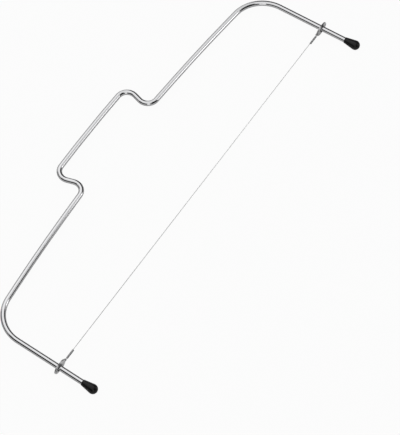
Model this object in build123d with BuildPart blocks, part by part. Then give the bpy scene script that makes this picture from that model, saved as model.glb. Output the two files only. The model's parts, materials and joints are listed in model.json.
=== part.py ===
from build123d import *
from math import acos, atan2, cos, radians, sin, tan
import os

# A cake leveler, lying flat as it lies on a worktop: +X along its cutting wire, +Y from its feet to its
# handle, +Z up. The origin is on the worktop, below the middle of the whole tool. All sizes are in millimetres.

# Driving dimensions of the whole tool
overall_height = 129.3  # from the feet's tips to the top of the handle
corner_span = 341.8  # between the points where the shoulders and the legs would meet if not rounded
cutting_height = 32.8  # from the feet's tips to the wire, as it is set

# Frame rod
rod_diameter = 4.0
handle_span = 94.4  # between the handle's unrounded corners
grip_length = 32.0  # straight stretch in the middle of the handle
handle_bow = 0.7  # rise of the grip above the handle's corners
handle_bow_reach = 5.0  # length over which the bow turns, each side of its point
step_height = 24.9  # drop from the handle to the shoulders
step_undercut = 7.3  # how far each step leans in on its way down
shoulder_fall = 9.2  # drop of each shoulder towards its leg
shoulder_bow = 1.5  # rise of each shoulder's middle, bowed by the pull of the wire
shoulder_bow_reach_share = 0.78  # of the shoulder's outer half that its corner bend leaves free
handle_bend = 8.0  # bend radii at the rod's centre line
step_bend = 7.8
corner_bend = 26.1
leg_splay = 1.65  # degrees that each leg leans outwards
rod_end_chamfer = 0.4

# Rubber feet
foot_length = 12.6
foot_diameter = 7.4
foot_neck_diameter = 4.7
foot_neck_rounding = 0.3
foot_cover = 3.4  # rubber between the rod's end and the foot's tip
foot_squeeze = 0.05  # how much tighter than the rod the rubber bore is, on the radius

# Clips that carry the wire on the legs
clip_thickness = 1.0
clip_height = 9.2
clip_body_offset = 2.1  # from the leg's axis in to the centre of the clip's widest round
clip_end_offset = 1.2  # from the leg's axis out to the centre of its outer round
clip_end_radius = 4.2
clip_tip_offset = 6.9  # from the leg's axis in to the centre of its tip
clip_tip_radius = 0.9
clip_edge_rounding = 0.15
clip_running_gap = 0.1  # between the leg and its hole
keyhole_width = 1.6
keyhole_reach = 4.5  # from the leg's axis out to the end of the keyhole's neck
eye_diameter = 1.1
travel_gap = 0.5  # left between a clip and the foot, or the corner bend, at the ends of its travel

# Cutting wire and its sleeves
wire_diameter = 0.45
strand_gap = 0.05  # between the wire's two strands in a sleeve
eye_gap = 0.04  # between the wire and the faces of the clip
eye_bend = 0.45  # radius of the wire's fold through the eye
fan_length = 0.6  # length over which the two strands spread from the sleeve to the clip
fan_bend = 0.4
sleeve_length = 7.9
sleeve_wall = 0.25
sleeve_gap = 0.03  # between a strand and the sleeve's bore
tail_hidden = 3.2  # how far short of the sleeve's inner mouth the folded strand ends
crimp_count = 2
crimp_radius = 0.6
crimp_depth = 0.1

# Places that follow from these sizes
rod_radius = rod_diameter / 2
foot_radius = foot_diameter / 2
wire_radius = wire_diameter / 2
clip_radius = clip_height / 2
axis_z = max(clip_radius, foot_radius)  # the rod and the wire lie in one plane, this far above the worktop
top_y = overall_height / 2
tip_y = -overall_height / 2
wire_y = tip_y + cutting_height
grip_y = top_y - rod_radius
handle_y = grip_y - handle_bow
step_y = handle_y - step_height
corner_y = step_y - shoulder_fall
splay = tan(radians(leg_splay))
leg_down = Vector(sin(radians(leg_splay)), -cos(radians(leg_splay)), 0)


def leg_x(y):
    """Distance from the middle of the tool to the centre line of a leg at a height."""
    return corner_span / 2 + (corner_y - y) * splay


def turn_radius(before, at, after, reach):
    """Radius of the arc that turns at a point and begins that far ahead of it."""
    turn = (Vector(at) - Vector(before)).get_angle(Vector(after) - Vector(at))
    return reach / tan(radians(turn) / 2)


# Frame rod: half of its centre line, from the middle of the handle to the end of a leg
foot_drop = foot_length * cos(radians(leg_splay))
neck_y = tip_y + foot_drop
rod_end_y = tip_y + foot_cover * cos(radians(leg_splay))
grip_end = (grip_length / 2, grip_y)
handle_corner = (handle_span / 2, handle_y)
step_foot = (handle_span / 2 - step_undercut, step_y)
leg_corner = (corner_span / 2, corner_y)
shoulder_middle = (
    (step_foot[0] + leg_corner[0]) / 2,
    (step_foot[1] + leg_corner[1]) / 2 + shoulder_bow,
)
rod_end = (leg_x(rod_end_y), rod_end_y)
corner_turn = (Vector(*leg_corner) - Vector(*shoulder_middle)).get_angle(leg_down)
corner_reach = corner_bend * tan(radians(corner_turn) / 2)
outer_half = (Vector(*leg_corner) - Vector(*shoulder_middle)).length
shoulder_bow_reach = shoulder_bow_reach_share * (outer_half - corner_reach)
half_line = [grip_end, handle_corner, step_foot, shoulder_middle, leg_corner, rod_end]
half_radii = [
    turn_radius((0, grip_y), grip_end, handle_corner, handle_bow_reach),
    handle_bend,
    step_bend,
    turn_radius(step_foot, shoulder_middle, leg_corner, shoulder_bow_reach),
    corner_bend,
]
whole_line = [(-x, y, axis_z) for x, y in reversed(half_line)] + [(x, y, axis_z) for x, y in half_line]

with BuildPart() as frame_rod:
    with BuildLine() as rod_line:
        FilletPolyline(*whole_line, radius=[*reversed(half_radii), *half_radii])
    with BuildSketch(Plane(origin=rod_line.wires()[0] @ 0, z_dir=rod_line.wires()[0] % 0)):
        Circle(rod_radius)
    sweep()
    chamfer(frame_rod.faces().sort_by(Axis.Y)[:2].edges(), length=rod_end_chamfer)
frame_rod.part.label = "frame_rod"

# Rubber feet: a cone that runs smoothly into a ball, with a blind bore for the rod
ball_centre = foot_length - foot_radius
neck_radius = foot_neck_diameter / 2
neck_to_ball = (ball_centre**2 + neck_radius**2) ** 0.5
touch_angle = atan2(neck_radius, -ball_centre) - acos(foot_radius / neck_to_ball)
cone_end = (ball_centre + foot_radius * cos(touch_angle), foot_radius * sin(touch_angle))
dome_middle = (
    ball_centre + foot_radius * cos(touch_angle / 2),
    foot_radius * sin(touch_angle / 2),
)
bore_radius = rod_radius - foot_squeeze
bore_depth = foot_length - foot_cover

# Clips: where the leg, the wire's eye and the sleeve lie, measured in from the leg's axis
straight_top_y = corner_y - corner_reach * cos(radians(leg_splay))
travel_up = straight_top_y - wire_y - clip_thickness / 2 - travel_gap
travel_down = wire_y - neck_y - clip_thickness / 2 - travel_gap
hole_radius = rod_radius + clip_running_gap
hole_in = travel_up * splay  # the legs close in as the wire goes up, so the hole is long enough for both ends
hole_out = travel_down * splay
eye_offset = clip_tip_offset - clip_tip_radius + eye_diameter / 2
fold_offset = eye_offset + (eye_diameter / 2 - wire_radius) / 2
tip_end = clip_tip_offset + clip_tip_radius
crossing_x = leg_x(wire_y)

# Wire: its two strands pass on both faces of the clip and lie side by side in the sleeve, where the long one
# keeps its line and the folded one lies on the feet's side of it
strand_y = wire_radius + strand_gap / 2
face_y = clip_thickness / 2 + wire_radius + eye_gap
fan_in = tip_end + eye_gap + fan_length
sleeve_start = fan_in + fan_bend
sleeve_end = sleeve_start + sleeve_length
end_line = [
    (fan_in, 0),
    (tip_end + eye_gap, face_y),
    (fold_offset, face_y),
    (fold_offset, -face_y),
    (tip_end + eye_gap, -face_y),
    (fan_in, -2 * strand_y),
    (sleeve_end - tail_hidden, -2 * strand_y),
]
sleeve_y = wire_y - strand_y
end_radii = [fan_bend, fan_bend, eye_bend, eye_bend, fan_bend, fan_bend]
left_end = [(offset - crossing_x, wire_y + y, axis_z) for offset, y in reversed(end_line)]
right_end = [(crossing_x - offset, wire_y + y, axis_z) for offset, y in end_line]

with BuildPart() as cutting_wire:
    with BuildLine() as wire_line:
        FilletPolyline(*left_end, *right_end, radius=[*reversed(end_radii), *end_radii])
    with BuildSketch(Plane(origin=wire_line.wires()[0] @ 0, z_dir=wire_line.wires()[0] % 0)):
        Circle(wire_radius)
    sweep()
cutting_wire.part.label = "cutting_wire"

os.makedirs("parts", exist_ok=True)
export_step(frame_rod.part, "parts/frame_rod.step")
export_step(cutting_wire.part, "parts/cutting_wire.step")

for side, hand in ((-1, "left"), (1, "right")):
    out = Vector(side * leg_down.X, leg_down.Y, 0)
    neck = Vector(side * leg_x(neck_y), neck_y, axis_z)
    with BuildPart() as foot:
        with BuildSketch(Plane(origin=neck, x_dir=out, z_dir=out.cross(Vector(0, 0, 1)))):
            with BuildLine():
                Polyline(
                    cone_end,
                    (0, neck_radius),
                    (0, bore_radius),
                    (bore_depth, bore_radius),
                    (bore_depth, 0),
                    (foot_length, 0),
                )
                ThreePointArc((foot_length, 0), dome_middle, cone_end)
            make_face()
        revolve(axis=Axis(neck, out))
        neck_circles = foot.edges().filter_by(GeomType.CIRCLE).sort_by(Axis.Y)[-2:]
        neck_rim = neck_circles.sort_by(SortBy.RADIUS)[-1]
        fillet(neck_rim, radius=foot_neck_rounding)
    foot.part.label = f"foot_{hand}"

    crossing = (side * crossing_x, wire_y, axis_z)
    across = Plane(origin=crossing, x_dir=(-side, 0, 0), z_dir=(0, side, 0))
    with BuildPart() as clip:
        with BuildSketch(across):
            with Locations((clip_body_offset, 0)):
                Circle(clip_radius)
            with Locations((-clip_end_offset, 0)):
                Circle(clip_end_radius)
            with Locations((clip_tip_offset, 0)):
                Circle(clip_tip_radius)
            make_hull()
        extrude(amount=clip_thickness / 2, both=True)
        rims = clip.faces().filter_by(Axis.Y).edges()
        fillet(rims, radius=clip_edge_rounding)
        with BuildSketch(across):
            with Locations(((hole_in - hole_out) / 2, 0)):
                SlotCenterToCenter(hole_in + hole_out, 2 * hole_radius)
            with Locations((-keyhole_reach / 2, 0)):
                SlotOverall(keyhole_reach, keyhole_width)
            with Locations((eye_offset, 0)):
                Circle(eye_diameter / 2)
        extrude(amount=clip_thickness, both=True, mode=Mode.SUBTRACT)
    clip.part.label = f"clip_{hand}"

    mouth = (side * (crossing_x - sleeve_start), sleeve_y, axis_z)
    sleeve_height = wire_diameter + 2 * (sleeve_gap + sleeve_wall)
    sleeve_width = 2 * strand_y + sleeve_height
    crimp_z = sleeve_height / 2 - crimp_depth + crimp_radius
    with BuildPart() as sleeve:
        with BuildSketch(Plane(origin=mouth, x_dir=(0, 1, 0), z_dir=(-side, 0, 0))):
            SlotCenterToCenter(2 * strand_y, sleeve_height)
            SlotCenterToCenter(2 * strand_y, wire_diameter + 2 * sleeve_gap, mode=Mode.SUBTRACT)
        extrude(amount=sleeve_length)
        for crimp in range(crimp_count):
            crimp_x = mouth[0] - side * sleeve_length * (crimp + 1) / (crimp_count + 1)
            for z in (axis_z - crimp_z, axis_z + crimp_z):
                with BuildSketch(Plane(origin=(crimp_x, sleeve_y, z), z_dir=(0, 1, 0))):
                    Circle(crimp_radius)
                extrude(amount=sleeve_width, both=True, mode=Mode.SUBTRACT)
    sleeve.part.label = f"sleeve_{hand}"

    export_step(foot.part, f"parts/foot_{hand}.step")
    export_step(clip.part, f"parts/clip_{hand}.step")
    export_step(sleeve.part, f"parts/sleeve_{hand}.step")

print("wire travel down, up:", round(travel_down, 2), round(travel_up, 2))
print("grip", round(grip_y, 3), "wire", round(wire_y, 3), "tip", round(leg_x(tip_y), 3), round(tip_y, 3))
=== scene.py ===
"""The cake leveler, dressed for pictures: plated rod, rubber feet, stamped clips, crimped sleeves and taut wire.

It is laid out as an add-on and run as a script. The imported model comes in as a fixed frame, and each operator
makes one piece, or one pair of pieces, in the place that the frame gives.
"""

import json
from math import acos, atan2, ceil, cos, hypot, inf, pi, radians, sin, tan

import bpy
from bpy.props import FloatProperty, FloatVectorProperty, IntProperty, PointerProperty
from mathutils import Matrix, Vector

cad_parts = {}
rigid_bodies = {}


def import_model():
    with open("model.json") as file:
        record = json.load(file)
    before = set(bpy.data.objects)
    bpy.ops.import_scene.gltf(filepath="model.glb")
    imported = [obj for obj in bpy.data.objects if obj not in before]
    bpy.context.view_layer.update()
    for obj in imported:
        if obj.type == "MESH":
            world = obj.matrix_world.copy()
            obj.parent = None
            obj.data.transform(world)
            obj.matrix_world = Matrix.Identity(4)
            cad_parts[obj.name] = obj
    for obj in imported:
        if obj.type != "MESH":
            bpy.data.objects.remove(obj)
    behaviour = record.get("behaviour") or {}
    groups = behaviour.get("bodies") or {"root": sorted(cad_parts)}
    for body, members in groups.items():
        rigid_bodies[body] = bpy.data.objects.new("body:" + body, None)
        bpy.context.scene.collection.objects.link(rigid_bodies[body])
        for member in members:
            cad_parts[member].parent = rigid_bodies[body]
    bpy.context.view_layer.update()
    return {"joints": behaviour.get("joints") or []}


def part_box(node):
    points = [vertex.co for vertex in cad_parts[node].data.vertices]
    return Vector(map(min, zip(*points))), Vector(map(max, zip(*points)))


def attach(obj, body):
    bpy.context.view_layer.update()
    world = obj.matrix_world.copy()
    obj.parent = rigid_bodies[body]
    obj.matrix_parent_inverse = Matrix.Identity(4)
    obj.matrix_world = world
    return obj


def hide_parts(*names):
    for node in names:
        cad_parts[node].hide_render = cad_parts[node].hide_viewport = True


bl_info = {
    "name": "Cake Leveler",
    "version": (1, 0, 0),
    "blender": (4, 5, 0),
    "location": "3D View > Sidebar > Cake Leveler",
    "description": "Models a bent rod cake leveler with rubber feet and a sliding cutting wire",
    "category": "Object",
}

bpy.ops.object.select_all(action="SELECT")
bpy.ops.object.delete()
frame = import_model()

MM = 0.001
SIDES = (("left", -1), ("right", 1))

# Points closer than WELD become one, and points closer than ON_SEAM to the mould's plane lie on its seam
WELD = 0.0005 * MM
ON_SEAM = 0.001 * MM

# Angles in degrees: edges flatter than these are shaded smooth, are dissolved in a plate, or stay unrolled on it
ROUND_SMOOTHING = 40
PLATE_SMOOTHING = 35
PLATE_FLATNESS = 0.5
EDGE_ROLL_FROM = 50

# Faces around each round form, and steps along it
FEWEST_BEND_STEPS = 3
FOOT_SIDES = 64
FOOT_RIM_STEPS = 4
FOOT_CONE_STEPS = 5
FOOT_BULB_STEPS = 14
PLATE_SIDES = 96
LEG_HOLE_SIDES = 64
SMALL_HOLE_SIDES = 32
EDGE_ROLL_STEPS = 3
SLEEVE_SIDES = 40
SLEEVE_STEPS = 60
SCREEN_SIDES = 96

# The first step of a sleeve's rounded end, as a share of the rounding, and how far each bite widens the tube, as a
# share of its depth
SLEEVE_ROLL_SHARE = 0.3
SLEEVE_BULGE_SHARE = 0.4

# Fine patterns in the materials: noise cells per metre along X, Y and Z, or along, across and above a drawn piece
ROD_LINES = (60, 4000, 4000)
WIRE_LINES = (300, 12000, 12000)
SHEET_LINES = (260, 9000, 9000)
SLEEVE_LINES = (300, 6000, 6000)
METAL_CLOUDS = (60, 60, 60)
# Noise for the ragged edge of the painted shade around the clips' leg holes
PAINTED_SHADE_PATCHES = (900, 900, 900)
RUBBER_SKIN = (2600, 2600, 2600)
RUBBER_CLOUDS = (220, 220, 220)

# How far those patterns change a finish: factors on its colour, factors on a metal's roughness, roughness added
METAL_TONES = (0.96, 1.04)
METAL_GLOSS = (0.8, 1.25)
METAL_CLOUD_GLOSS = 0.02
RUBBER_TONES = (0.8, 1.25)
RUBBER_GLOSS = (-0.04, 0.06)
RUBBER_SPECULAR = 0.25
RUBBER_DEPTH = 0.01 * MM
RUBBER_BUMP = 0.3

# A plate's rim turns into its face between these depths below the face. Its painted shade around the leg has an
# uneven edge, begins to thin out at a distance from the leg's hole, and is rougher than the sheet
RIM_BELOW = (0.12 * MM, 0.02 * MM)
PAINTED_SHADE_UNEVEN = 0.3 * MM
PAINTED_SHADE_FULL = 1.6 * MM
PAINTED_SHADE_DULLNESS = 0.15

# Dark and lit cards on the screens around the tool: turn from +X, half width, foot, top and width of the soft edge,
# in degrees, the share of the light behind that stays, and the level added
CARDS = (
    (-2.2, 34.4, -20.0, 47.2, 8.0, 0.03, 0.00),
    (200.0, 61.6, -20.0, 45.5, 8.0, 0.03, 0.00),
    (275.4, 24.4, -20.0, 70.3, 5.0, 0.03, 0.00),
    (325.1, 5.5, -20.0, 68.9, 5.0, 0.03, 0.00),
    (120.0, 19.0, -20.0, 25.8, 5.0, 0.03, 0.00),
    (303.1, 8.2, 9.5, 24.2, 4.0, 1.00, 2.32),
    (219.2, 11.0, -17.6, 41.6, 4.0, 1.00, 1.13),
    (61.7, 17.4, 34.0, 76.0, 4.0, 1.00, 0.33),
)

# Lamps: turn from +X and climb in degrees, distance, width and height in metres, level, where 1 is white, and
# whether metal shows the lamp itself, or the plain white behind it
LAMPS = (
    ("overhead_softbox", 60.0, 75.0, 2.0, 1.8, 1.8, 1.0, False),
    ("front_lamp", 213.5, 58.0, 0.8, 0.036, 0.036, 2.0, True),
)

# Width of the camera's sensor, in millimetres
SENSOR_WIDTH = 36.0

# Places that the frame gives
ROD_LOW, ROD_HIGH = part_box("frame_rod")
FOOT_LOW, FOOT_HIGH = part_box("foot_right")
CLIP_LOW, CLIP_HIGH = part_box("clip_right")
SLEEVE_LOW, SLEEVE_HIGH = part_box("sleeve_right")
AXIS_Z = (ROD_LOW.z + ROD_HIGH.z) / 2
TOP_Y = ROD_HIGH.y
TIP_Y = FOOT_LOW.y
WIRE_Y = (CLIP_LOW.y + CLIP_HIGH.y) / 2


def size_value(name, description, default):
    """A size in metres that a user may change."""
    return FloatProperty(name=name, description=description, default=default, min=0.0, unit="LENGTH", precision=5)


def share_value(name, description, default):
    """A factor from nought to one."""
    return FloatProperty(name=name, description=description, default=default, min=0.0, max=1.0, subtype="FACTOR")


def angle_value(name, description, default):
    """An angle, given here in degrees."""
    return FloatProperty(name=name, description=description, default=radians(default), subtype="ANGLE")


def colour_value(name, description, default):
    """A surface colour."""
    return FloatVectorProperty(
        name=name, description=description, default=default, size=3, min=0.0, max=1.0, subtype="COLOR"
    )


class CakeLevelerRod(bpy.types.PropertyGroup):
    diameter: size_value("Rod diameter", "Thickness of the bent rod", ROD_HIGH.z - ROD_LOW.z)
    handle_span: size_value("Handle span", "Between the handle's unrounded corners", 94.4 * MM)
    grip_length: size_value("Grip length", "Straight stretch in the middle of the handle", 32.0 * MM)
    handle_bow: size_value("Handle bow", "Rise of the grip above the handle's corners", 0.7 * MM)
    bow_reach: size_value("Bow reach", "Length over which the handle's bow turns", 5.0 * MM)
    step_height: size_value("Step height", "Drop from the handle to the shoulders", 24.9 * MM)
    step_undercut: size_value("Step undercut", "How far each step leans in", 7.3 * MM)
    shoulder_fall: size_value("Shoulder fall", "Drop of each shoulder towards its leg", 9.2 * MM)
    shoulder_bow: size_value("Shoulder bow", "Rise of each shoulder's middle", 1.5 * MM)
    shoulder_share: share_value("Shoulder bow share", "Part of the outer half that the bow takes", 0.78)
    corner_span: size_value("Corner span", "Between the unrounded outer corners", 341.8 * MM)
    handle_bend: size_value("Handle bend", "Bend radius at the handle", 8.0 * MM)
    step_bend: size_value("Step bend", "Bend radius below each step", 7.8 * MM)
    corner_bend: size_value("Corner bend", "Bend radius at the outer corners", 26.1 * MM)
    leg_splay: angle_value("Leg splay", "How far each leg leans outwards", 1.65)
    end_chamfer: size_value("End chamfer", "Bevel on the rod's cut ends", 0.4 * MM)
    sides: IntProperty(name="Sides", description="Faces around the rod", default=64, min=16, max=96)
    plating: colour_value("Plating", "Colour of the bright plating", (0.70, 0.70, 0.71))
    polish: share_value("Plating roughness", "Roughness of the plating", 0.09)


class CakeLevelerFoot(bpy.types.PropertyGroup):
    length: size_value("Foot length", "From the neck's face to the tip", 12.6 * MM)
    diameter: size_value("Foot diameter", "Width of the round bulb", FOOT_HIGH.z - FOOT_LOW.z)
    neck_diameter: size_value("Neck diameter", "Width where the rod goes in", 4.7 * MM)
    neck_rounding: size_value("Neck rounding", "Radius on the neck's rim", 0.4 * MM)
    cover: size_value("Tip cover", "Rubber between the rod's end and the tip", 3.4 * MM)
    squeeze: size_value("Squeeze", "How much tighter than the rod the bore is, on the radius", 0.05 * MM)
    parting_line: size_value("Parting line", "Height of the line that the mould leaves", 0.03 * MM)
    rubber: colour_value("Rubber", "Colour of the moulded rubber", (0.005, 0.005, 0.0053))
    sheen: share_value("Rubber roughness", "Roughness of the moulded rubber", 0.3)


class CakeLevelerClip(bpy.types.PropertyGroup):
    height: size_value("Clip height", "Width across the clip's widest round", CLIP_HIGH.z - CLIP_LOW.z)
    thickness: size_value("Clip thickness", "Thickness of the sheet", CLIP_HIGH.y - CLIP_LOW.y)
    body_offset: size_value("Body offset", "From the leg in to the widest round", 2.1 * MM)
    end_offset: size_value("End offset", "From the leg out to the outer round", 1.2 * MM)
    end_radius: size_value("End radius", "Radius of the outer round", 4.2 * MM)
    tip_offset: size_value("Tip offset", "From the leg in to the tip", 6.9 * MM)
    tip_radius: size_value("Tip radius", "Radius of the tip", 0.9 * MM)
    edge_rounding: size_value("Edge rounding", "Roll on the stamped edge", 0.15 * MM)
    running_gap: size_value("Running gap", "Between the leg and its hole", 0.1 * MM)
    keyhole_width: size_value("Keyhole width", "Width of the keyhole's neck", 1.6 * MM)
    keyhole_reach: size_value("Keyhole reach", "From the leg to the end of the neck", 4.5 * MM)
    eye_diameter: size_value("Eye diameter", "Hole that the wire folds through", 1.1 * MM)
    steel: colour_value("Clip steel", "Colour of the stamped sheet", (0.72, 0.72, 0.725))
    rim: colour_value("Clip rim", "Colour of the sheared rim", (0.50, 0.50, 0.505))
    brushing: share_value("Clip roughness", "Roughness of the stamped sheet", 0.2)
    rim_dullness: share_value("Rim dullness", "How much rougher the sheared rim is than the faces", 0.22)
    # Painted shade on the clip's faces around the leg's hole, where the leg passes through the plate
    painted_shade: colour_value("Shade", "Colour of the rubbed grease around the leg", (0.05, 0.05, 0.052))
    painted_shade_reach: size_value("Grease reach", "How far the grease spreads from the leg's hole", 4.0 * MM)
    painted_shade_narrowing: FloatProperty(
        name="Grease narrowing", description="How much less far it spreads to the sides", default=2.3, min=1.0
    )


class CakeLevelerWire(bpy.types.PropertyGroup):
    diameter: size_value("Wire diameter", "Thickness of the cutting wire", 0.45 * MM)
    strand_gap: size_value("Strand gap", "Between the two strands in a sleeve", 0.05 * MM)
    eye_gap: size_value("Eye gap", "Between the wire and the clip's faces", 0.04 * MM)
    eye_bend: size_value("Eye bend", "Radius of the fold through the eye", 0.45 * MM)
    fan_length: size_value("Fan length", "Over which the strands spread to the clip", 0.6 * MM)
    fan_bend: size_value("Fan bend", "Radius of the spread", 0.4 * MM)
    tail_hidden: size_value("Tail", "How far inside the sleeve the folded strand ends", 3.2 * MM)
    sides: IntProperty(name="Sides", description="Faces around the wire", default=20, min=8, max=48)
    steel: colour_value("Wire steel", "Colour of the drawn wire", (0.62, 0.62, 0.625))
    polish: share_value("Wire roughness", "Roughness of the drawn wire", 0.24)


class CakeLevelerSleeve(bpy.types.PropertyGroup):
    length: size_value("Sleeve length", "Length of the crimped tube", SLEEVE_HIGH.x - SLEEVE_LOW.x)
    wall: size_value("Sleeve wall", "Wall of the tube", 0.25 * MM)
    gap: size_value("Sleeve gap", "Between a strand and the bore", 0.03 * MM)
    crimps: IntProperty(name="Crimps", description="Bites of the crimping tool", default=2, min=1, max=4)
    crimp_depth: size_value("Crimp depth", "Depth of each bite", 0.12 * MM)
    crimp_width: size_value("Crimp width", "Width of each bite", 0.9 * MM)
    end_rounding: size_value("End rounding", "Radius on the tube's cut ends", 0.09 * MM)
    metal: colour_value("Sleeve metal", "Colour of the crimped tube", (0.30, 0.30, 0.305))
    polish: share_value("Sleeve roughness", "Roughness of the crimped tube", 0.34)


class CakeLevelerStage(bpy.types.PropertyGroup):
    view_azimuth: angle_value("View azimuth", "Turn of the camera around the tool", -56.465)
    view_elevation: angle_value("View elevation", "Height of the camera above the floor", 59.6)
    distance: size_value("Camera distance", "From the camera to the point it looks at", 1.8)
    aim: FloatVectorProperty(
        name="Aim", description="Point the camera looks at", default=(-0.016948, -0.046707, 0.0046), unit="LENGTH"
    )
    lens: FloatProperty(name="Lens", description="Focal length", default=205.74, unit="CAMERA")
    floor_size: size_value("Floor size", "Side of the square floor", 12.0)
    floor_colour: colour_value("Floor", "Colour of the floor", (0.45, 0.45, 0.45))
    backdrop: share_value("Backdrop share", "How much of the floor is plain white to the camera", 0.95)
    reflected: share_value("Reflected share", "How much of the floor is plain white in metal and glass", 0.25)
    world_level: share_value("World level", "Level of the soft light all around", 0.7)
    screen_distance: size_value("Screen distance", "From the tool to the screens that its metal reflects", 0.88)
    screen_low: share_value("Screen foot", "Level of the screens at the floor", 0.62)
    screen_pale: angle_value("Screen pale", "Height at which the screens become plain white", 55.8)
    screen_top: angle_value("Screen top", "Height of the screens", 78.0)


class CakeLevelerSettings(bpy.types.PropertyGroup):
    rod: PointerProperty(type=CakeLevelerRod, name="Rod", description="Sizes and finish of the frame rod")
    foot: PointerProperty(type=CakeLevelerFoot, name="Feet", description="Sizes and finish of the rubber feet")
    clip: PointerProperty(type=CakeLevelerClip, name="Clips", description="Sizes and finish of the clips")
    wire: PointerProperty(type=CakeLevelerWire, name="Wire", description="Sizes and finish of the cutting wire")
    sleeve: PointerProperty(type=CakeLevelerSleeve, name="Sleeves", description="Sizes and finish of the sleeves")
    stage: PointerProperty(type=CakeLevelerStage, name="Stage", description="Camera, floor and light")


# Modelling by hand, in code


def clear_selection():
    """Leaves edit mode and selects nothing."""
    if bpy.context.mode != "OBJECT":
        bpy.ops.object.mode_set(mode="OBJECT")
    bpy.ops.object.select_all(action="DESELECT")


def new_ring(name, centre, direction, radius, sides):
    """Adds an open circle that faces a direction, in edit mode, with its object at the origin."""
    clear_selection()
    turn = Vector(direction).to_track_quat("Z", "Y").to_euler()
    bpy.ops.mesh.primitive_circle_add(vertices=sides, radius=radius, location=centre, rotation=turn)
    piece = bpy.context.active_object
    piece.name = name
    piece.data.name = name
    bpy.ops.object.transform_apply(location=True, rotation=True, scale=True)
    bpy.ops.object.mode_set(mode="EDIT")
    bpy.ops.mesh.select_mode(type="EDGE")
    bpy.ops.mesh.select_all(action="SELECT")
    return piece


def finish_mesh(piece, smooth_degrees):
    """Closes the open ends, merges doubles, points the faces outwards and smooths the rounds."""
    bpy.ops.mesh.select_all(action="SELECT")
    bpy.ops.mesh.remove_doubles(threshold=WELD)
    bpy.ops.mesh.fill_holes(sides=0)
    bpy.ops.mesh.select_all(action="SELECT")
    bpy.ops.mesh.normals_make_consistent(inside=False)
    bpy.ops.object.mode_set(mode="OBJECT")
    bpy.ops.object.shade_smooth_by_angle(angle=radians(smooth_degrees))
    return piece


def bent_tube(name, points, radii, radius, sides, step_degrees, chamfer=0.0):
    """A round rod that runs level from point to point, spun round a bend at each inner point."""
    points = [Vector(point) for point in points]
    start = (points[1] - points[0]).normalized()
    piece = new_ring(name, points[0], start, radius - chamfer, sides)
    at = points[0]
    if chamfer:
        bpy.ops.mesh.extrude_region_move(TRANSFORM_OT_translate={"value": start * chamfer})
        at = at + start * chamfer
        widen = radius / (radius - chamfer)
        bpy.ops.transform.resize(value=(widen,) * 3, center_override=at)
    for before, corner, after, bend in zip(points, points[1:], points[2:], radii):
        heading = (corner - before).normalized()
        leaving = (after - corner).normalized()
        turn = atan2(heading.x * leaving.y - heading.y * leaving.x, heading.dot(leaving))
        bend_start = corner - heading * bend * tan(abs(turn) / 2)
        bpy.ops.mesh.extrude_region_move(TRANSFORM_OT_translate={"value": bend_start - at})
        side = 1 if turn > 0 else -1
        centre = bend_start + Vector((-heading.y, heading.x, 0)) * bend * side
        steps = max(FEWEST_BEND_STEPS, ceil(abs(turn) / radians(step_degrees)))
        bpy.ops.mesh.spin(steps=steps, angle=-turn, center=centre, axis=(0, 0, 1))
        at = corner + leaving * bend * tan(abs(turn) / 2)
    end = (points[-1] - points[-2]).normalized()
    bpy.ops.mesh.extrude_region_move(TRANSFORM_OT_translate={"value": points[-1] - end * chamfer - at})
    if chamfer:
        bpy.ops.mesh.extrude_region_move(TRANSFORM_OT_translate={"value": end * chamfer})
        narrow = (radius - chamfer) / radius
        bpy.ops.transform.resize(value=(narrow,) * 3, center_override=points[-1])
    return finish_mesh(piece, ROUND_SMOOTHING)


def ringed_shell(name, rings, sides):
    """A shell along Z: each ring is its distance, its half width along X and its half width along Y."""
    distance, half_x, half_y = rings[0]
    piece = new_ring(name, (0, 0, distance), (0, 0, 1), 1.0, sides)
    bpy.ops.transform.resize(value=(half_x, half_y, 1), center_override=(0, 0, distance))
    for next_distance, next_x, next_y in rings[1:]:
        move = (0, 0, next_distance - distance)
        bpy.ops.mesh.extrude_region_move(TRANSFORM_OT_translate={"value": move})
        grow = (next_x / half_x, next_y / half_y, 1)
        bpy.ops.transform.resize(value=grow, center_override=(0, 0, next_distance))
        distance, half_x, half_y = next_distance, next_x, next_y
    return piece


def place(piece, matrix):
    """Puts a piece that was made at the origin in its place, with its object left at the origin."""
    clear_selection()
    piece.select_set(True)
    bpy.context.view_layer.objects.active = piece
    piece.matrix_world = matrix
    bpy.ops.object.transform_apply(location=True, rotation=True, scale=True)


def apply_modifiers(piece):
    """Applies all modifiers of a piece."""
    clear_selection()
    piece.select_set(True)
    bpy.context.view_layer.objects.active = piece
    for modifier in list(piece.modifiers):
        bpy.ops.object.modifier_apply(modifier=modifier.name)


# Where the rod and the wire run


def leg_x(rod, y):
    """Distance from the middle of the tool to the centre line of a leg at a height."""
    handle_y = TOP_Y - rod.diameter / 2 - rod.handle_bow
    corner_y = handle_y - rod.step_height - rod.shoulder_fall
    return rod.corner_span / 2 + (corner_y - y) * tan(rod.leg_splay)


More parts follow.
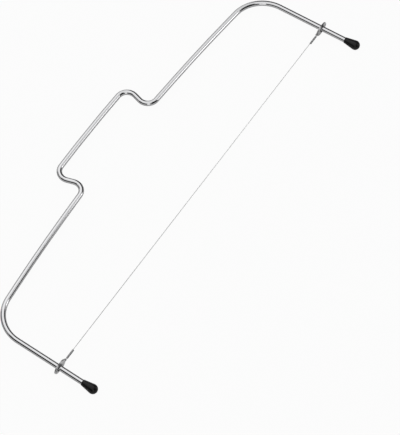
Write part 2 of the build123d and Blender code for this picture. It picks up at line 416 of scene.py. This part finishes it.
def rod_path(rod, foot):
    """Points and bend radii of the whole rod, from the end of the left leg to the end of the right one."""
    grip_y = TOP_Y - rod.diameter / 2
    handle_y = grip_y - rod.handle_bow
    step_y = handle_y - rod.step_height
    corner_y = step_y - rod.shoulder_fall
    end_y = TIP_Y + foot.cover * cos(rod.leg_splay)
    grip_end = Vector((rod.grip_length / 2, grip_y))
    handle_corner = Vector((rod.handle_span / 2, handle_y))
    step_foot = Vector((rod.handle_span / 2 - rod.step_undercut, step_y))
    leg_corner = Vector((rod.corner_span / 2, corner_y))
    shoulder = (step_foot + leg_corner) / 2 + Vector((0, rod.shoulder_bow))
    rod_end = Vector((leg_x(rod, end_y), end_y))
    handle_turn = (handle_corner - grip_end).angle(Vector((1, 0)))
    shoulder_turn = (leg_corner - shoulder).angle(shoulder - step_foot)
    corner_turn = (rod_end - leg_corner).angle(leg_corner - shoulder)
    outer_half = (leg_corner - shoulder).length
    bow_reach = rod.shoulder_share * (outer_half - rod.corner_bend * tan(corner_turn / 2))
    half = [grip_end, handle_corner, step_foot, shoulder, leg_corner, rod_end]
    radii = [
        rod.bow_reach / tan(handle_turn / 2),
        rod.handle_bend,
        rod.step_bend,
        bow_reach / tan(shoulder_turn / 2),
        rod.corner_bend,
    ]
    left = [(-point.x, point.y, AXIS_Z) for point in reversed(half)]
    right = [(point.x, point.y, AXIS_Z) for point in half]
    return left + right, [*reversed(radii), *radii]


def wire_path(rod, clip, wire, sleeve):
    """Points and bend radii of the wire, from the folded tail in the left sleeve to the one in the right."""
    wire_radius = wire.diameter / 2
    strand_y = wire_radius + wire.strand_gap / 2
    face_y = clip.thickness / 2 + wire_radius + wire.eye_gap
    tip_end = clip.tip_offset + clip.tip_radius
    fan_in = tip_end + wire.eye_gap + wire.fan_length
    sleeve_end = fan_in + wire.fan_bend + sleeve.length
    eye_offset = clip.tip_offset - clip.tip_radius + clip.eye_diameter / 2
    fold_offset = eye_offset + (clip.eye_diameter / 2 - wire_radius) / 2
    line = [
        (fan_in, 0.0),
        (tip_end + wire.eye_gap, face_y),
        (fold_offset, face_y),
        (fold_offset, -face_y),
        (tip_end + wire.eye_gap, -face_y),
        (fan_in, -2 * strand_y),
        (sleeve_end - wire.tail_hidden, -2 * strand_y),
    ]
    radii = [wire.fan_bend, wire.fan_bend, wire.eye_bend, wire.eye_bend, wire.fan_bend, wire.fan_bend]
    crossing = leg_x(rod, WIRE_Y)
    left = [(offset - crossing, WIRE_Y + y, AXIS_Z) for offset, y in reversed(line)]
    right = [(crossing - offset, WIRE_Y + y, AXIS_Z) for offset, y in line]
    return left + right, [*reversed(radii), *radii]


# Materials


def calculate(nodes, links, operation, *values):
    """A Math node on sockets and numbers."""
    node = nodes.new("ShaderNodeMath")
    node.operation = operation
    for value, entry in zip(values, node.inputs):
        if isinstance(value, bpy.types.NodeSocket):
            links.new(value, entry)
        else:
            entry.default_value = value
    return node.outputs["Value"]


def ramp(nodes, links, source, start, stop, low, high):
    """A smooth change from one value to another."""
    node = nodes.new("ShaderNodeMapRange")
    node.interpolation_type = "SMOOTHSTEP"
    node.inputs["From Min"].default_value = start
    node.inputs["From Max"].default_value = stop
    node.inputs["To Min"].default_value = low
    node.inputs["To Max"].default_value = high
    links.new(source, node.inputs["Value"])
    return node.outputs["Result"]


def new_material(name):
    """A material with a Principled shader and Object coordinates, ready for its own nodes."""
    material = bpy.data.materials.new(name)
    material.use_nodes = True
    nodes = material.node_tree.nodes
    shader = nodes["Principled BSDF"]
    place_node = nodes.new("ShaderNodeTexCoord")
    return material, nodes, material.node_tree.links, shader, place_node.outputs["Object"]


def grain(nodes, links, source, scale, detail=3.0, roughness=0.55):
    """Noise on stretched coordinates: a fine pattern whose size is set along each axis."""
    mapping = nodes.new("ShaderNodeMapping")
    mapping.inputs["Scale"].default_value = scale
    links.new(source, mapping.inputs["Vector"])
    noise = nodes.new("ShaderNodeTexNoise")
    noise.inputs["Scale"].default_value = 1.0
    noise.inputs["Detail"].default_value = detail
    noise.inputs["Roughness"].default_value = roughness
    links.new(mapping.outputs["Vector"], noise.inputs["Vector"])
    return noise.outputs["Fac"]


def spread(nodes, links, source, low, high, start=0.3, stop=0.7):
    """Maps a pattern, which mostly lies from 0.3 to 0.7, to values from low to high."""
    node = nodes.new("ShaderNodeMapRange")
    node.inputs["From Min"].default_value = start
    node.inputs["From Max"].default_value = stop
    node.inputs["To Min"].default_value = low
    node.inputs["To Max"].default_value = high
    links.new(source, node.inputs["Value"])
    return node.outputs["Result"]


def tint(nodes, links, source, base, low, high):
    """The base colour, made darker and lighter by a pattern."""
    level = spread(nodes, links, source, low, high)
    mix = nodes.new("ShaderNodeVectorMath")
    mix.operation = "SCALE"
    mix.inputs[0].default_value = base
    links.new(level, mix.inputs["Scale"])
    return mix.outputs["Vector"]


def bump(nodes, links, source, distance, strength=1.0):
    """A surface that is raised by a pattern, up to a distance."""
    node = nodes.new("ShaderNodeBump")
    node.inputs["Distance"].default_value = distance
    node.inputs["Strength"].default_value = strength
    links.new(source, node.inputs["Height"])
    return node.outputs["Normal"]


def metal(name, base, roughness, source_name, scale, depth, painted_edge_tint=0.0):
    """A metal with a fine directional grain in its colour, gloss and surface, and painted shade towards its outline.
    """
    material, nodes, links, shader, place_output = new_material(name)
    source = place_output
    if source_name:
        attribute = nodes.new("ShaderNodeAttribute")
        attribute.attribute_name = source_name
        source = attribute.outputs["Vector"]
    lines = grain(nodes, links, source, scale)
    cloud = grain(nodes, links, place_output, METAL_CLOUDS, detail=2.0)
    shader.inputs["Metallic"].default_value = 1.0
    # An edge tint below one darkens the grazing reflections: painted shade along the outline
    shader.inputs["Specular Tint"].default_value = (painted_edge_tint, painted_edge_tint, painted_edge_tint, 1.0)
    links.new(tint(nodes, links, lines, base, *METAL_TONES), shader.inputs["Base Color"])
    along = spread(nodes, links, lines, *(roughness * share for share in METAL_GLOSS))
    patchy = spread(nodes, links, cloud, -METAL_CLOUD_GLOSS, METAL_CLOUD_GLOSS)
    links.new(calculate(nodes, links, "ADD", along, patchy), shader.inputs["Roughness"])
    links.new(bump(nodes, links, lines, depth), shader.inputs["Normal"])
    return material


def bare_material(name):
    """A material that holds only its output node."""
    material = bpy.data.materials.new(name)
    material.use_nodes = True
    nodes = material.node_tree.nodes
    nodes.clear()
    return material, nodes, material.node_tree.links, nodes.new("ShaderNodeOutputMaterial")


def ray_kinds(nodes, links):
    """Whether a ray comes from the camera, and whether it comes from metal or glass."""
    path = nodes.new("ShaderNodeLightPath")
    reflected = calculate(nodes, links, "MAXIMUM", path.outputs["Is Glossy Ray"], path.outputs["Is Transmission Ray"])
    return path.outputs["Is Camera Ray"], reflected


def join_colour(nodes, links, shader, mask, first):
    """Blends a plain colour, where the mask is nought, into the shader's own, where it is one."""
    own = shader.inputs["Base Color"].links[0].from_socket
    mix = nodes.new("ShaderNodeMix")
    mix.data_type = "VECTOR"
    mix.inputs["A"].default_value = first
    links.new(mask, mix.inputs["Factor"])
    links.new(own, mix.inputs["B"])
    links.new(mix.outputs["Result"], shader.inputs["Base Color"])


def dull(nodes, links, shader, mask, amount):
    """Makes the shader duller where the mask is nought."""
    own = shader.inputs["Roughness"].links[0].from_socket
    worn = calculate(nodes, links, "MULTIPLY", calculate(nodes, links, "SUBTRACT", 1.0, mask), amount)
    links.new(calculate(nodes, links, "ADD", own, worn), shader.inputs["Roughness"])


def plate_rim_and_painted_shade(material, clip, leg_at, hole):
    """Marks a stamped plate: a dull sheared rim, and dark painted shade on its faces around the leg."""
    nodes = material.node_tree.nodes
    links = material.node_tree.links
    shader = nodes["Principled BSDF"]
    place_output = nodes["Texture Coordinate"].outputs["Object"]
    parts = nodes.new("ShaderNodeSeparateXYZ")
    links.new(place_output, parts.inputs["Vector"])
    off = calculate(nodes, links, "ABSOLUTE", calculate(nodes, links, "SUBTRACT", parts.outputs["Y"], WIRE_Y))
    half = clip.thickness / 2
    face = ramp(nodes, links, off, half - RIM_BELOW[0], half - RIM_BELOW[1], 0.0, 1.0)
    join_colour(nodes, links, shader, face, clip.rim)
    dull(nodes, links, shader, face, clip.rim_dullness)
    # Painted shade: the faces darken around the leg's hole, thinning out with distance from it
    across = calculate(nodes, links, "SUBTRACT", calculate(nodes, links, "ABSOLUTE", parts.outputs["X"]), leg_at)
    beside = calculate(nodes, links, "MULTIPLY", across, clip.painted_shade_narrowing)
    above = calculate(nodes, links, "SUBTRACT", parts.outputs["Z"], AXIS_Z)
    beside_squared = calculate(nodes, links, "MULTIPLY", beside, beside)
    away = calculate(nodes, links, "SQRT", calculate(nodes, links, "MULTIPLY_ADD", above, above, beside_squared))
    patches = grain(nodes, links, place_output, PAINTED_SHADE_PATCHES)
    ragged = calculate(nodes, links, "ADD", away, spread(nodes, links, patches, -PAINTED_SHADE_UNEVEN, PAINTED_SHADE_UNEVEN))
    unshaded = ramp(nodes, links, ragged, hole + PAINTED_SHADE_FULL, hole + clip.painted_shade_reach, 0.0, 1.0)
    join_colour(nodes, links, shader, unshaded, clip.painted_shade)
    dull(nodes, links, shader, unshaded, PAINTED_SHADE_DULLNESS)


def rubber(name, base, roughness):
    """Moulded rubber: nearly black, with a fine satin grain."""
    material, nodes, links, shader, place_output = new_material(name)
    skin = grain(nodes, links, place_output, RUBBER_SKIN, detail=4.0)
    cloud = grain(nodes, links, place_output, RUBBER_CLOUDS, detail=2.0)
    links.new(tint(nodes, links, cloud, base, *RUBBER_TONES), shader.inputs["Base Color"])
    gloss = spread(nodes, links, skin, *(roughness + change for change in RUBBER_GLOSS))
    links.new(gloss, shader.inputs["Roughness"])
    links.new(bump(nodes, links, skin, RUBBER_DEPTH, RUBBER_BUMP), shader.inputs["Normal"])
    shader.inputs["Specular IOR Level"].default_value = RUBBER_SPECULAR
    return material


def dress(piece, material, body, slot_name, *nodes):
    """Gives a piece its material and tells the frame where it belongs."""
    piece.data.materials.clear()
    piece.data.materials.append(material)
    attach(piece, body)
    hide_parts(*nodes)


def mark_run(piece, points):
    """Stores where each point of a rod lies: along the run, across it and above it, for its drawn lines."""
    points = [Vector(point[:2]) for point in points]
    runs = []
    so_far = 0.0
    for start, end in zip(points, points[1:]):
        runs.append((start, end - start, so_far))
        so_far += (end - start).length
    attribute = piece.data.attributes.new("drawn", "FLOAT_VECTOR", "POINT")
    for vertex, value in zip(piece.data.vertices, attribute.data):
        at = vertex.co.xy
        nearest = inf
        for start, run, before in runs:
            part = min(max((at - start).dot(run) / run.length_squared, 0.0), 1.0)
            away = (at - start - run * part).length
            if away < nearest:
                nearest = away
                along = before + part * run.length
                across = (run.x * (at - start).y - run.y * (at - start).x) / run.length
        value.vector = (along, across, vertex.co.z - AXIS_Z)


class CAKE_LEVELER_OT_frame_rod(bpy.types.Operator):
    """Bends the plated frame rod"""

    bl_idname = "cake_leveler.frame_rod"
    bl_label = "Frame Rod"

    def execute(self, context):
        settings = context.scene.cake_leveler
        rod = settings.rod
        points, radii = rod_path(rod, settings.foot)
        piece = bent_tube(
            "bent_rod", points, radii, rod.diameter / 2, rod.sides, step_degrees=3, chamfer=rod.end_chamfer
        )
        mark_run(piece, points)
        # The plating keeps an edge tint of nought: painted shade along the rod's outline
        finish = metal("plated_rod_finish", rod.plating, rod.polish, "drawn", ROD_LINES, depth=0.0015 * MM)
        dress(piece, finish, "frame", "plated_rod", "frame_rod")
        return {"FINISHED"}


def raise_seam(piece, foot, bore):
    """Raises the two fine lines, one on each side, where the halves of the mould met."""
    for vertex in piece.data.vertices:
        across = vertex.co.xy.length
        if across > bore + foot.squeeze and abs(vertex.co.y) < ON_SEAM:
            vertex.co.x *= 1 + foot.parting_line / across


class CAKE_LEVELER_OT_feet(bpy.types.Operator):
    """Moulds the two rubber feet and pushes them on the rod's ends"""

    bl_idname = "cake_leveler.feet"
    bl_label = "Rubber Feet"

    def execute(self, context):
        settings = context.scene.cake_leveler
        rod = settings.rod
        foot = settings.foot
        ball = foot.diameter / 2
        neck = foot.neck_diameter / 2
        centre = foot.length - ball
        bore = rod.diameter / 2 - foot.squeeze
        touch = atan2(neck, -centre) - acos(ball / hypot(centre, neck))
        rim = foot.neck_rounding
        # From the end of the blind bore out over its mouth, the rolled rim, the cone and the bulb, nearly to the tip
        rings = [(foot.length - foot.cover, bore), (rim / 2, bore), (0.0, bore + rim / 4), (0.0, neck - rim)]
        for step in range(1, FOOT_RIM_STEPS + 1):
            at = pi / 2 * step / FOOT_RIM_STEPS
            rings.append((rim - rim * cos(at), neck - rim + rim * sin(at)))
        cone_end, cone_radius = centre + ball * cos(touch), ball * sin(touch)
        for step in range(1, FOOT_CONE_STEPS + 1):
            part = step / FOOT_CONE_STEPS
            rings.append((rim + (cone_end - rim) * part, neck + (cone_radius - neck) * part))
        for step in range(1, FOOT_BULB_STEPS):
            at = touch * (1 - step / FOOT_BULB_STEPS)
            rings.append((centre + ball * cos(at), ball * sin(at)))
        finish = rubber("rubber_foot_finish", foot.rubber, foot.sheen)
        for hand, side in SIDES:
            rounds = [(distance, radius, radius) for distance, radius in rings]
            piece = ringed_shell(f"rubber_foot_{hand}", rounds, FOOT_SIDES)
            to_tip = (0, 0, foot.length - rings[-1][0])
            bpy.ops.mesh.extrude_region_move(TRANSFORM_OT_translate={"value": to_tip})
            bpy.ops.mesh.merge(type="CENTER")
            finish_mesh(piece, ROUND_SMOOTHING)
            raise_seam(piece, foot, bore)
            out = Vector((side * sin(rod.leg_splay), -cos(rod.leg_splay), 0))
            neck_y = TIP_Y + foot.length * cos(rod.leg_splay)
            at = Vector((side * leg_x(rod, neck_y), neck_y, AXIS_Z))
            place(piece, Matrix.Translation(at) @ out.to_track_quat("Z", "Y").to_matrix().to_4x4())
            dress(piece, finish, "frame", "rubber_foot", f"foot_{hand}")
        return {"FINISHED"}


def punch(piece, cutter):
    """Cuts one solid out of another and takes the cutter away."""
    cut = piece.modifiers.new("punch", "BOOLEAN")
    cut.operation = "DIFFERENCE"
    cut.solver = "EXACT"
    cut.object = cutter
    apply_modifiers(piece)
    bpy.data.objects.remove(cutter)


def hull_of_rounds(name, rounds, thickness, sides):
    """A flat plate along Z around several rounds, each one its place along X and its radius."""
    clear_selection()
    for number, (offset, radius) in enumerate(rounds):
        bpy.ops.mesh.primitive_cylinder_add(
            vertices=sides, radius=radius, depth=thickness, location=(offset, 0, 0)
        )
        if number == 0:
            piece = bpy.context.active_object
            piece.name = name
            piece.data.name = name
            bpy.ops.object.transform_apply(location=True, rotation=True, scale=True)
            bpy.ops.object.mode_set(mode="EDIT")
    bpy.ops.mesh.select_all(action="SELECT")
    bpy.ops.mesh.convex_hull()
    bpy.ops.mesh.select_all(action="SELECT")
    bpy.ops.mesh.remove_doubles(threshold=WELD)
    bpy.ops.mesh.dissolve_limited(angle_limit=radians(PLATE_FLATNESS))
    bpy.ops.object.mode_set(mode="OBJECT")
    return piece


class CAKE_LEVELER_OT_clips(bpy.types.Operator):
    """Stamps the two clips that carry the wire on the legs"""

    bl_idname = "cake_leveler.clips"
    bl_label = "Clips"

    def execute(self, context):
        settings = context.scene.cake_leveler
        rod = settings.rod
        clip = settings.clip
        hole = rod.diameter / 2 + clip.running_gap
        joint = next(joint for joint in frame["joints"] if joint["name"] == "wire_height")
        down, up = joint["range_m"]
        hole_in = up * tan(rod.leg_splay)
        hole_out = down * tan(rod.leg_splay)
        eye = clip.tip_offset - clip.tip_radius + clip.eye_diameter / 2
        through = 4 * clip.thickness
        neck = clip.keyhole_width / 2
        outline = [
            (clip.body_offset, clip.height / 2),
            (-clip.end_offset, clip.end_radius),
            (clip.tip_offset, clip.tip_radius),
        ]
        holes = (
            ("leg_hole", [(hole_in, hole), (hole_out, hole)], LEG_HOLE_SIDES),
            ("keyhole", [(-neck, neck), (neck - clip.keyhole_reach, neck)], SMALL_HOLE_SIDES),
            ("eye", [(eye, clip.eye_diameter / 2)], SMALL_HOLE_SIDES),
        )
        finish = metal(
            "clip_plate_finish", clip.steel, clip.brushing, None, SHEET_LINES, depth=0.0015 * MM, painted_edge_tint=1.0
        )
        # The sheared rim, and painted shade around the leg's hole
        plate_rim_and_painted_shade(finish, clip, leg_x(rod, WIRE_Y), hole)
        for hand, side in SIDES:
            piece = hull_of_rounds(f"wire_clip_{hand}", outline, clip.thickness, PLATE_SIDES)
            for name, rounds, sides in holes:
                punch(piece, hull_of_rounds(name, rounds, through, sides))
            roll = piece.modifiers.new("edge_roll", "BEVEL")
            roll.width = clip.edge_rounding
            roll.segments = EDGE_ROLL_STEPS
            roll.limit_method = "ANGLE"
            roll.angle_limit = radians(EDGE_ROLL_FROM)
            apply_modifiers(piece)
            bpy.ops.object.mode_set(mode="EDIT")
            finish_mesh(piece, PLATE_SMOOTHING)
            at = Matrix.Translation((side * leg_x(rod, WIRE_Y), WIRE_Y, AXIS_Z))
            axes = Matrix(((-side, 0, 0), (0, 0, side), (0, 1, 0))).to_4x4()
            place(piece, at @ axes)
            dress(piece, finish, "cutter", "clip_plate", f"clip_{hand}")
        return {"FINISHED"}


class CAKE_LEVELER_OT_sleeves(bpy.types.Operator):
    """Crimps the two sleeves that close the wire's loops"""

    bl_idname = "cake_leveler.sleeves"
    bl_label = "Crimped Sleeves"

    def execute(self, context):
        settings = context.scene.cake_leveler
        rod = settings.rod
        wire = settings.wire
        sleeve = settings.sleeve
        clip = settings.clip
        strand_y = (wire.diameter + wire.strand_gap) / 2
        bore = wire.diameter / 2 + sleeve.gap
        half_z = bore + sleeve.wall
        half_y = half_z + strand_y
        edge = sleeve.end_rounding
        roll = SLEEVE_ROLL_SHARE * edge
        end = sleeve.length
        rings = [(0.0, half_y - edge, half_z - edge), (roll, half_y - roll, half_z - roll)]
        bites = [end * (number + 1) / (sleeve.crimps + 1) for number in range(sleeve.crimps)]
        for step in range(SLEEVE_STEPS + 1):
            at = edge + (end - 2 * edge) * step / SLEEVE_STEPS
            bite = sum(
                0.5 + 0.5 * cos(pi * (at - middle) / sleeve.crimp_width)
                for middle in bites
                if abs(at - middle) < sleeve.crimp_width
            )
            press = sleeve.crimp_depth * bite
            rings.append((at, half_y + press * SLEEVE_BULGE_SHARE, half_z - press))
        rings += [
            (end - roll, half_y - roll, half_z - roll),
            (end, half_y - edge, half_z - edge),
            (end, bore + strand_y, bore),
            (0.0, bore + strand_y, bore),
            rings[0],
        ]
        start = clip.tip_offset + clip.tip_radius + wire.eye_gap + wire.fan_length + wire.fan_bend
        # An edge tint of one half paints some shade along the sleeve's outline
        finish = metal(
            "crimp_sleeve_finish", sleeve.metal, sleeve.polish, None, SLEEVE_LINES, depth=0.002 * MM, painted_edge_tint=0.5
        )
        for hand, side in SIDES:
            piece = ringed_shell(f"crimped_sleeve_{hand}", rings, SLEEVE_SIDES)
            finish_mesh(piece, ROUND_SMOOTHING)
            mouth = (side * (leg_x(rod, WIRE_Y) - start), WIRE_Y - strand_y, AXIS_Z)
            axes = Matrix(((0, 0, -side), (1, 0, 0), (0, 1, 0))).to_4x4()
            place(piece, Matrix.Translation(mouth) @ axes)
            # The right sleeve's axes mirror it, so its faces are pointed outwards again
            bpy.ops.object.mode_set(mode="EDIT")
            finish_mesh(piece, ROUND_SMOOTHING)
            dress(piece, finish, "cutter", "crimp_sleeve", f"sleeve_{hand}")
        return {"FINISHED"}


class CAKE_LEVELER_OT_wire(bpy.types.Operator):
    """Strings the cutting wire between the clips"""

    bl_idname = "cake_leveler.wire"
    bl_label = "Cutting Wire"

    def execute(self, context):
        settings = context.scene.cake_leveler
        wire = settings.wire
        points, radii = wire_path(settings.rod, settings.clip, wire, settings.sleeve)
        piece = bent_tube("taut_wire", points, radii, wire.diameter / 2, wire.sides, step_degrees=12)
        mark_run(piece, points)
        # The wire keeps an edge tint of nought: painted shade along its outline
        finish = metal("cutting_wire_finish", wire.steel, wire.polish, "drawn", WIRE_LINES, depth=0.001 * MM)
        dress(piece, finish, "cutter", "cutting_wire", "cutting_wire")
        return {"FINISHED"}


class CAKE_LEVELER_OT_stage(bpy.types.Operator):
    """Sets the camera, the pale floor and the soft studio light"""

    bl_idname = "cake_leveler.stage"
    bl_label = "Stage"

    def execute(self, context):
        stage = context.scene.cake_leveler.stage
        clear_selection()
        turn = stage.view_azimuth
        rise = stage.view_elevation
        back = Vector((sin(turn) * cos(rise), -cos(turn) * cos(rise), sin(rise)))
        at = Vector(stage.aim) + back * stage.distance
        bpy.ops.object.camera_add(location=at, rotation=(pi / 2 - rise, 0, turn))
        camera = context.active_object
        camera.name = "photo_camera"
        camera.data.lens = stage.lens
        camera.data.sensor_width = SENSOR_WIDTH
        context.scene.camera = camera
        self.floor(context, stage)
        self.world(context, stage)
        self.screens(context, stage)
        self.lamps(context)
        context.scene.view_settings.view_transform = "Standard"
        return {"FINISHED"}

    def floor(self, context, stage):
        """A pale floor that is nearly plain white to the camera, and keeps a trace of the tool's shadow."""
        clear_selection()
        bpy.ops.mesh.primitive_plane_add(size=stage.floor_size, location=(0, 0, 0))
        floor = context.active_object
        floor.name = "pale_floor"
        material, nodes, links, output = bare_material("pale_floor_finish")
        camera, reflected = ray_kinds(nodes, links)
        to_camera = calculate(nodes, links, "MULTIPLY", camera, stage.backdrop)
        to_metal = calculate(nodes, links, "MULTIPLY", reflected, stage.reflected)
        plain = nodes.new("ShaderNodeBsdfDiffuse")
        plain.inputs["Color"].default_value = (*stage.floor_colour, 1.0)
        white = nodes.new("ShaderNodeEmission")
        white.inputs["Strength"].default_value = 1.0
        mix = nodes.new("ShaderNodeMixShader")
        links.new(calculate(nodes, links, "MAXIMUM", to_camera, to_metal), mix.inputs["Fac"])
        links.new(plain.outputs["BSDF"], mix.inputs[1])
        links.new(white.outputs["Emission"], mix.inputs[2])
        links.new(mix.outputs["Shader"], output.inputs["Surface"])
        floor.data.materials.append(material)

    def world(self, context, stage):
        """Soft light all around, plain white to the camera and in metal and glass."""
        world = bpy.data.worlds.new("studio")
        context.scene.world = world
        world.use_nodes = True
        nodes = world.node_tree.nodes
        links = world.node_tree.links
        background = nodes["Background"]
        background.inputs["Color"].default_value = (1, 1, 1, 1)
        seen = calculate(nodes, links, "MAXIMUM", *ray_kinds(nodes, links))
        level = nodes.new("ShaderNodeMapRange")
        level.inputs["To Min"].default_value = stage.world_level
        level.inputs["To Max"].default_value = 1.0
        links.new(seen, level.inputs["Value"])
        links.new(level.outputs["Result"], background.inputs["Strength"])

    def screens(self, context, stage):
        """A ring of pale screens with dark and lit cards around the tool, seen only in what it mirrors."""
        clear_selection()
        reach = stage.screen_distance
        height = reach * tan(stage.screen_top)
        bpy.ops.mesh.primitive_cylinder_add(
            vertices=SCREEN_SIDES, radius=reach, depth=height, end_fill_type="NOTHING", location=(0, 0, height / 2)
        )
        bpy.ops.object.transform_apply(location=True, rotation=True, scale=True)
        screen = context.active_object
        screen.name = "studio_screens"
        material, nodes, links, output = bare_material("studio_screen_finish")
        place_node = nodes.new("ShaderNodeTexCoord")
        parts = nodes.new("ShaderNodeSeparateXYZ")
        links.new(place_node.outputs["Object"], parts.inputs["Vector"])
        around = calculate(nodes, links, "ARCTAN2", parts.outputs["Y"], parts.outputs["X"])
        rise = calculate(nodes, links, "DIVIDE", parts.outputs["Z"], reach)
        climb = calculate(nodes, links, "ARCTANGENT", rise)
        light = spread(nodes, links, climb, stage.screen_low, 1.0, 0.0, stage.screen_pale)
        for middle, half_width, foot, top, edge, keeps, adds in CARDS:
            half_edge = radians(edge) / 2
            turned = calculate(nodes, links, "SUBTRACT", around, radians(middle))
            wrapped = calculate(nodes, links, "WRAP", turned, pi, -pi)
            aside = calculate(nodes, links, "ABSOLUTE", wrapped)
            card = 1.0
            for source, limit, inner, outer in (
                (aside, radians(half_width), 1.0, 0.0),
                (climb, radians(top), 1.0, 0.0),
                (climb, radians(foot), 0.0, 1.0),
            ):
                within = ramp(nodes, links, source, limit - half_edge, limit + half_edge, inner, outer)
                card = calculate(nodes, links, "MULTIPLY", card, within)
            kept = calculate(nodes, links, "MULTIPLY_ADD", card, keeps - 1.0, 1.0)
            added = calculate(nodes, links, "MULTIPLY", card, adds)
            light = calculate(nodes, links, "MULTIPLY_ADD", light, kept, added)
        glow = nodes.new("ShaderNodeEmission")
        links.new(light, glow.inputs["Strength"])
        links.new(glow.outputs["Emission"], output.inputs["Surface"])
        screen.data.materials.append(material)
        screen.visible_camera = False
        screen.visible_diffuse = False
        screen.visible_shadow = False

    def lamps(self, context):
        """Area lamps that face the tool; each one's power follows from its area and the level it shines at."""
        for name, around, climb, distance, width, height, level, shows in LAMPS:
            turn = radians(around)
            rise = radians(climb)
            at = Vector((cos(turn) * cos(rise), sin(turn) * cos(rise), sin(rise))) * distance
            aim = (-at).to_track_quat("-Z", "Y").to_euler()
            bpy.ops.object.light_add(type="AREA", location=at, rotation=aim)
            lamp = context.active_object
            lamp.name = name
            lamp.data.shape = "RECTANGLE"
            lamp.data.size = width
            lamp.data.size_y = height
            lamp.data.energy = level * pi * width * height
            lamp.visible_glossy = shows


class CAKE_LEVELER_PT_panel(bpy.types.Panel):
    """Every size and finish, with a button for each step"""

    bl_idname = "CAKE_LEVELER_PT_panel"
    bl_label = "Cake Leveler"
    bl_space_type = "VIEW_3D"
    bl_region_type = "UI"
    bl_category = "Cake Leveler"

    def draw(self, context):
        settings = context.scene.cake_leveler
        for group, operator in STEPS:
            box = self.layout.box()
            box.operator(operator.bl_idname)
            values = getattr(settings, group)
            for key in values.__annotations__:
                box.prop(values, key)


STEPS = (
    ("rod", CAKE_LEVELER_OT_frame_rod),
    ("foot", CAKE_LEVELER_OT_feet),
    ("clip", CAKE_LEVELER_OT_clips),
    ("sleeve", CAKE_LEVELER_OT_sleeves),
    ("wire", CAKE_LEVELER_OT_wire),
    ("stage", CAKE_LEVELER_OT_stage),
)

CLASSES = (
    CakeLevelerRod,
    CakeLevelerFoot,
    CakeLevelerClip,
    CakeLevelerWire,
    CakeLevelerSleeve,
    CakeLevelerStage,
    CakeLevelerSettings,
    *(operator for _, operator in STEPS),
    CAKE_LEVELER_PT_panel,
)


def register():
    for item in CLASSES:
        bpy.utils.register_class(item)
    bpy.types.Scene.cake_leveler = PointerProperty(type=CakeLevelerSettings)


def unregister():
    del bpy.types.Scene.cake_leveler
    for item in reversed(CLASSES):
        bpy.utils.unregister_class(item)


def main():
    register()
    bpy.ops.cake_leveler.frame_rod()
    bpy.ops.cake_leveler.feet()
    bpy.ops.cake_leveler.clips()
    bpy.ops.cake_leveler.sleeves()
    bpy.ops.cake_leveler.wire()
    bpy.ops.cake_leveler.stage()


if __name__ == "__main__":
    main()
